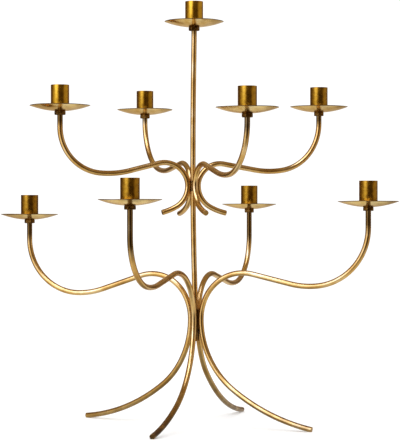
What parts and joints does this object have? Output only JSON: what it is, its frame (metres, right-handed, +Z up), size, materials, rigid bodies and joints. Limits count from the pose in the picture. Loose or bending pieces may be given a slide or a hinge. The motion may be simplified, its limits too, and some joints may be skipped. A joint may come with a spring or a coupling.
{
  "type": "tabletop candelabra",
  "caption": "Free-standing brass candelabra: a slim stem with tiers of bent rod arms, the lower ones running on into splayed feet, each arm ending in a drip pan and candle cup.",
  "frame": {"origin": "on the floor plane, under the joint where the four lower arms meet the stem", "axes": "+Z up; +X to the right and +Y away from a viewer facing the front"},
  "size_m": [0.531, 0.4972, 0.5655],
  "materials": {
    "rod_brass": "aged satin brass rod, warm golden brown with darker patina",
    "cup_brass": "aged polished brass tube, mottled brown patina",
    "pan_brass": "thin spun brass sheet, polished, with fine turning marks",
    "nut_bronze": "dark oxidised brass",
    "braze_metal": "rough braze metal, browned"
  },
  "bodies": {
    "frame": {"stem": "rod_brass", "lower_arm_1": "rod_brass", "lower_arm_2": "rod_brass", "lower_arm_3": "rod_brass", "lower_arm_4": "rod_brass", "upper_arm_1": "rod_brass", "upper_arm_2": "rod_brass", "upper_arm_3": "rod_brass", "upper_arm_4": "rod_brass", "lower_braze": "braze_metal", "upper_braze": "braze_metal", "nut_top": "nut_bronze", "nut_lower_1": "nut_bronze", "nut_lower_2": "nut_bronze", "nut_lower_3": "nut_bronze", "nut_lower_4": "nut_bronze", "nut_upper_1": "nut_bronze", "nut_upper_2": "nut_bronze", "nut_upper_3": "nut_bronze", "nut_upper_4": "nut_bronze"},
    "pan_top": {"pan_top": "pan_brass"},
    "cup_top": {"cup_top": "cup_brass"},
    "pan_lower_1": {"pan_lower_1": "pan_brass"},
    "cup_lower_1": {"cup_lower_1": "cup_brass"},
    "pan_lower_2": {"pan_lower_2": "pan_brass"},
    "cup_lower_2": {"cup_lower_2": "cup_brass"},
    "pan_lower_3": {"pan_lower_3": "pan_brass"},
    "cup_lower_3": {"cup_lower_3": "cup_brass"},
    "pan_lower_4": {"pan_lower_4": "pan_brass"},
    "cup_lower_4": {"cup_lower_4": "cup_brass"},
    "pan_upper_1": {"pan_upper_1": "pan_brass"},
    "cup_upper_1": {"cup_upper_1": "cup_brass"},
    "pan_upper_2": {"pan_upper_2": "pan_brass"},
    "cup_upper_2": {"cup_upper_2": "cup_brass"},
    "pan_upper_3": {"pan_upper_3": "pan_brass"},
    "cup_upper_3": {"cup_upper_3": "cup_brass"},
    "pan_upper_4": {"pan_upper_4": "pan_brass"},
    "cup_upper_4": {"cup_upper_4": "cup_brass"}
  },
  "joints": [
    {"name": "pan_top_lift", "type": "slide", "parent": "frame", "child": "pan_top", "axis": [0, 0, 1], "range_m": [0, 0.025]},
    {"name": "cup_top_turn", "type": "hinge", "parent": "pan_top", "child": "cup_top", "pos_m": [-0.00225, 0, 0.5323], "axis": [0, 0, 1], "continuous": true},
    {"name": "pan_lower_1_lift", "type": "slide", "parent": "frame", "child": "pan_lower_1", "axis": [0, 0, 1], "range_m": [0, 0.025]},
    {"name": "cup_lower_1_turn", "type": "hinge", "parent": "pan_lower_1", "child": "cup_lower_1", "pos_m": [0.22246, -0.08317, 0.2923], "axis": [0, 0, 1], "continuous": true},
    {"name": "pan_lower_2_lift", "type": "slide", "parent": "frame", "child": "pan_lower_2", "axis": [0, 0, 1], "range_m": [0, 0.025]},
    {"name": "cup_lower_2_turn", "type": "hinge", "parent": "pan_lower_2", "child": "cup_lower_2", "pos_m": [0.07669, 0.20513, 0.2898], "axis": [0, 0, 1], "continuous": true},
    {"name": "pan_lower_3_lift", "type": "slide", "parent": "frame", "child": "pan_lower_3", "axis": [0, 0, 1], "range_m": [0, 0.025]},
    {"name": "cup_lower_3_turn", "type": "hinge", "parent": "pan_lower_3", "child": "cup_lower_3", "pos_m": [-0.22949, 0.0858, 0.2753], "axis": [0, 0, 1], "continuous": true},
    {"name": "pan_lower_4_lift", "type": "slide", "parent": "frame", "child": "pan_lower_4", "axis": [0, 0, 1], "range_m": [0, 0.025]},
    {"name": "cup_lower_4_turn", "type": "hinge", "parent": "pan_lower_4", "child": "cup_lower_4", "pos_m": [-0.07967, -0.21309, 0.2938], "axis": [0, 0, 1], "continuous": true},
    {"name": "pan_upper_1_lift", "type": "slide", "parent": "frame", "child": "pan_upper_1", "axis": [0, 0, 1], "range_m": [0, 0.025]},
    {"name": "cup_upper_1_turn", "type": "hinge", "parent": "pan_upper_1", "child": "cup_upper_1", "pos_m": [0.16839, 0.0678, 0.4223], "axis": [0, 0, 1], "continuous": true},
    {"name": "pan_upper_2_lift", "type": "slide", "parent": "frame", "child": "pan_upper_2", "axis": [0, 0, 1], "range_m": [0, 0.025]},
    {"name": "cup_upper_2_turn", "type": "hinge", "parent": "pan_upper_2", "child": "cup_upper_2", "pos_m": [-0.07301, 0.17585, 0.4243], "axis": [0, 0, 1], "continuous": true},
    {"name": "pan_upper_3_lift", "type": "slide", "parent": "frame", "child": "pan_upper_3", "axis": [0, 0, 1], "range_m": [0, 0.025]},
    {"name": "cup_upper_3_turn", "type": "hinge", "parent": "pan_upper_3", "child": "cup_upper_3", "pos_m": [-0.17587, -0.0678, 0.4168], "axis": [0, 0, 1], "continuous": true},
    {"name": "pan_upper_4_lift", "type": "slide", "parent": "frame", "child": "pan_upper_4", "axis": [0, 0, 1], "range_m": [0, 0.025]},
    {"name": "cup_upper_4_turn", "type": "hinge", "parent": "pan_upper_4", "child": "cup_upper_4", "pos_m": [0.06424, -0.17259, 0.4083], "axis": [0, 0, 1], "continuous": true}
  ]
}
